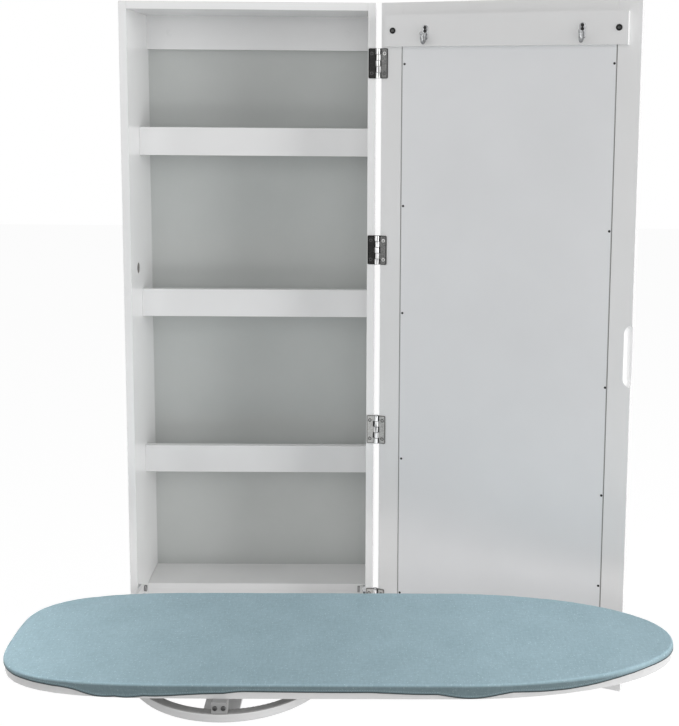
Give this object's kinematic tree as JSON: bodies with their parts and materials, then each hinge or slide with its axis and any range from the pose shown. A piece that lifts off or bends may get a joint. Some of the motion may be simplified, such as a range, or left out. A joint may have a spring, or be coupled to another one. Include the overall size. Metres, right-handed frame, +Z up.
{
  "type": "mirrored ironing board cabinet",
  "caption": "Tall wall cabinet with a mirrored door, storage shelves and a padded ironing board on a swivelling ring carried by two swing arms.",
  "frame": {"origin": "midway between the two wall screws, on the back of the cabinet where it meets the wall", "axes": "+Z up, +Y into the wall, +X along the wall to the viewer's right"},
  "size_m": [0.891, 0.6308, 1.046],
  "materials": {
    "white_board": "white satin laminate on fibreboard",
    "back_board": "pale grey-green painted hardboard",
    "raw_board": "bare fibreboard",
    "mirror_glass": "silvered glass",
    "dark_steel": "dull plated steel",
    "zinc_steel": "zinc plated",
    "chrome": "polished",
    "white_steel": "white powder coat",
    "white_nylon": "natural nylon",
    "felt_pad": "needle felt",
    "blue_cloth": "woven cotton"
  },
  "bodies": {
    "cabinet": {"side_left": "white_board", "side_right": "white_board", "top_panel": "white_board", "bottom_panel": "white_board", "back_panel": "back_board", "hanging_cleat": "white_board", "shelf_upper": "white_board", "shelf_middle": "white_board", "shelf_lower": "white_board", "rail_upper": "white_board", "rail_middle": "white_board", "rail_lower": "white_board", "bottom_shelf": "white_board", "bottom_riser": "white_board", "pivot_bolts": "dark_steel", "pivot_washers": "zinc_steel", "arm_rests": "zinc_steel", "frame_leaf_1": "dark_steel", "frame_leaf_2": "dark_steel", "frame_leaf_3": "dark_steel", "frame_leaf_4": "dark_steel", "hinge_pin_1": "zinc_steel", "hinge_pin_2": "zinc_steel", "hinge_pin_3": "zinc_steel", "hinge_pin_4": "zinc_steel"},
    "door": {"door_stile_hinge": "white_board", "door_stile_free": "white_board", "door_rail_top": "white_board", "door_rail_bottom": "white_board", "mirror": "mirror_glass", "door_filler": "raw_board", "door_backing": "white_board", "hook_strip": "white_board", "strip_screws": "dark_steel", "hook_left": "chrome", "hook_right": "chrome", "door_leaf_1": "dark_steel", "door_leaf_2": "dark_steel", "door_leaf_3": "dark_steel", "door_leaf_4": "dark_steel"},
    "arms": {"arm_left": "white_steel", "arm_right": "white_steel"},
    "carrier": {"trunnion_left": "white_steel", "trunnion_right": "white_steel", "trunnion_clips": "zinc_steel", "ring": "white_steel", "hub_bar": "white_steel", "swivel_stud": "zinc_steel", "thrust_washer": "white_nylon"},
    "board": {"swivel_flange": "zinc_steel", "glides": "white_nylon", "board_panel": "white_board", "board_pad": "felt_pad", "board_cover": "blue_cloth"}
  },
  "joints": [
    {"name": "door_hinge", "type": "hinge", "parent": "cabinet", "child": "door", "pos_m": [0.2043, -0.1668, -0.5], "axis": [0, 0, 1], "range_deg": [-12, 40]},
    {"name": "arm_fold", "type": "hinge", "parent": "cabinet", "child": "arms", "pos_m": [0, -0.155, -0.9185], "axis": [-1, 0, 0], "range_deg": [0, 81.5]},
    {"name": "carrier_tilt", "type": "hinge", "parent": "arms", "child": "carrier", "pos_m": [0, -0.4928, -0.868], "axis": [-1, 0, 0], "range_deg": [0, 8.7]},
    {"name": "board_swivel", "type": "hinge", "parent": "carrier", "child": "board", "pos_m": [0.016, -0.4928, -0.85], "axis": [0, 0, -1], "range_deg": [0, 90.2]}
  ],
  "couplings": [
    {"joint": "carrier_tilt", "follows": "arm_fold", "ratio": 0.10433},
    {"joint": "board_swivel", "follows": "arm_fold", "ratio": 1.1043}
  ]
}
